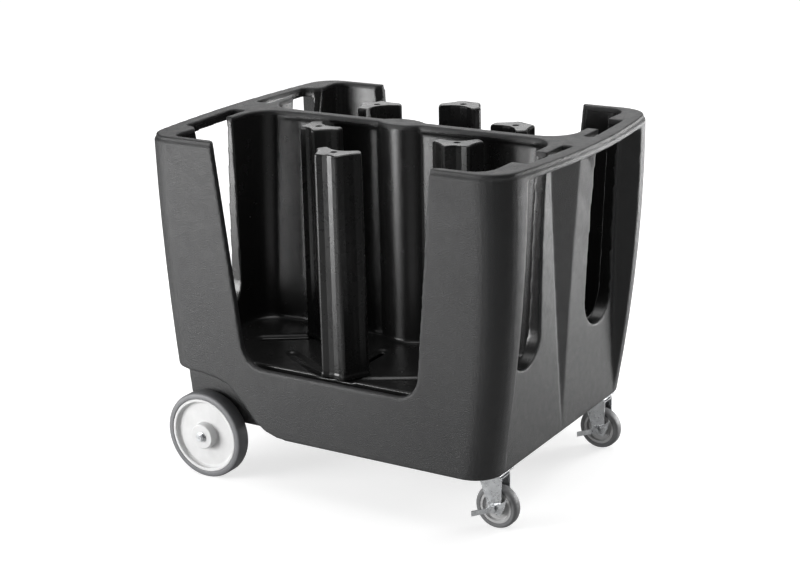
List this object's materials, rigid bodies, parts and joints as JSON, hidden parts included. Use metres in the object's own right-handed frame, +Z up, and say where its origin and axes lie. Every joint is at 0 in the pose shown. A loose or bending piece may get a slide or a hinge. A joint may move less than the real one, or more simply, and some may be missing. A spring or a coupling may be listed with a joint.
{
  "type": "plate trolley",
  "caption": "Open-topped moulded plate trolley with two compartments, sliding dividing towers, large fixed wheels and braked swivel casters.",
  "frame": {"origin": "on the floor, under the middle of the overall box", "axes": "+X along the trolley towards the swivel casters, +Y across it towards the far long side, +Z up"},
  "size_m": [0.9686, 0.7256, 0.81],
  "materials": {
    "body_plastic": "fine orange-peel moulded polyethylene",
    "tower_plastic": "smooth satin moulded polyethylene",
    "disc_plastic": "satin light grey",
    "wheel_tyre": "smooth grey rubber",
    "caster_tyre": "smooth grey rubber",
    "caster_core": "light grey",
    "zinc_steel": "bright zinc plated",
    "bolt_steel": "zinc plated",
    "nylon": "natural nylon",
    "bronze": "sintered bronze",
    "insert_brass": "knurled brass"
  },
  "bodies": {
    "trolley": {"body": "body_plastic", "threaded_inserts": "insert_brass", "rear_axle": "zinc_steel", "axle_brackets": "zinc_steel", "bracket_bolts": "bolt_steel", "axle_washers": "zinc_steel", "axle_nuts": "bolt_steel", "caster_plates": "zinc_steel", "caster_plate_bolts": "bolt_steel", "kingpin_right": "zinc_steel", "kingpin_left": "zinc_steel"},
    "wheel_right": {"wheel_disc_right": "disc_plastic", "wheel_tyre_right": "wheel_tyre", "wheel_bush_right": "nylon"},
    "caster_swivel_right": {"caster_fork_right": "zinc_steel", "swivel_balls_right": "zinc_steel", "caster_axle_bolt_right": "bolt_steel", "caster_nut_right": "bolt_steel"},
    "caster_wheel_right": {"caster_core_right": "caster_core", "caster_tyre_right": "caster_tyre", "caster_bush_right": "bronze"},
    "brake_right": {"brake_lever_right": "zinc_steel"},
    "wheel_left": {"wheel_disc_left": "disc_plastic", "wheel_tyre_left": "wheel_tyre", "wheel_bush_left": "nylon"},
    "caster_swivel_left": {"caster_fork_left": "zinc_steel", "swivel_balls_left": "zinc_steel", "caster_axle_bolt_left": "bolt_steel", "caster_nut_left": "bolt_steel"},
    "caster_wheel_left": {"caster_core_left": "caster_core", "caster_tyre_left": "caster_tyre", "caster_bush_left": "bronze"},
    "brake_left": {"brake_lever_left": "zinc_steel"},
    "divider_a": {"tower_a": "tower_plastic", "tower_bolt_a": "bolt_steel", "clamp_plate_a": "zinc_steel"},
    "divider_b": {"tower_b": "tower_plastic", "tower_bolt_b": "bolt_steel", "clamp_plate_b": "zinc_steel"},
    "divider_c": {"tower_c": "tower_plastic", "tower_bolt_c": "bolt_steel", "clamp_plate_c": "zinc_steel"},
    "divider_d": {"tower_d": "tower_plastic", "tower_bolt_d": "bolt_steel", "clamp_plate_d": "zinc_steel"},
    "divider_e": {"tower_e": "tower_plastic", "tower_bolt_e": "bolt_steel", "clamp_plate_e": "zinc_steel"},
    "divider_f": {"tower_f": "tower_plastic", "tower_bolt_f": "bolt_steel", "clamp_plate_f": "zinc_steel"}
  },
  "joints": [
    {"name": "wheel_right_spin", "type": "hinge", "parent": "trolley", "child": "wheel_right", "pos_m": [-0.356, -0.325, 0.1027], "axis": [0, 1, 0], "continuous": true},
    {"name": "caster_right_swivel", "type": "hinge", "parent": "trolley", "child": "caster_swivel_right", "pos_m": [0.356, -0.257, 0.12], "axis": [0, 0, 1], "continuous": true},
    {"name": "caster_right_spin", "type": "hinge", "parent": "caster_swivel_right", "child": "caster_wheel_right", "pos_m": [0.374, -0.257, 0.05], "axis": [0, 1, 0], "continuous": true},
    {"name": "brake_right_press", "type": "hinge", "parent": "caster_swivel_right", "child": "brake_right", "pos_m": [0.374, -0.257, 0.05], "axis": [0, 1, 0], "range_deg": [-18, 0]},
    {"name": "wheel_left_spin", "type": "hinge", "parent": "trolley", "child": "wheel_left", "pos_m": [-0.356, 0.325, 0.1027], "axis": [0, 1, 0], "continuous": true},
    {"name": "caster_left_swivel", "type": "hinge", "parent": "trolley", "child": "caster_swivel_left", "pos_m": [0.356, 0.257, 0.12], "axis": [0, 0, 1], "continuous": true},
    {"name": "caster_left_spin", "type": "hinge", "parent": "caster_swivel_left", "child": "caster_wheel_left", "pos_m": [0.374, 0.257, 0.05], "axis": [0, 1, 0], "continuous": true},
    {"name": "brake_left_press", "type": "hinge", "parent": "caster_swivel_left", "child": "brake_left", "pos_m": [0.374, 0.257, 0.05], "axis": [0, 1, 0], "range_deg": [-18, 0]},
    {"name": "divider_a_slide", "type": "slide", "parent": "trolley", "child": "divider_a", "axis": [0, 1, 0], "range_m": [0, 0.17]},
    {"name": "divider_b_slide", "type": "slide", "parent": "trolley", "child": "divider_b", "axis": [-0.848, -0.5299, 0], "range_m": [0, 0.15]},
    {"name": "divider_c_slide", "type": "slide", "parent": "trolley", "child": "divider_c", "axis": [0.8572, -0.515, 0], "range_m": [0, 0.11]},
    {"name": "divider_d_slide", "type": "slide", "parent": "trolley", "child": "divider_d", "axis": [0, -1, 0], "range_m": [0, 0.08]},
    {"name": "divider_e_slide", "type": "slide", "parent": "trolley", "child": "divider_e", "axis": [0, -1, 0], "range_m": [0, 0.16]},
    {"name": "divider_f_slide", "type": "slide", "parent": "trolley", "child": "divider_f", "axis": [0.8572, 0.515, 0], "range_m": [-0.04, 0.074]}
  ]
}
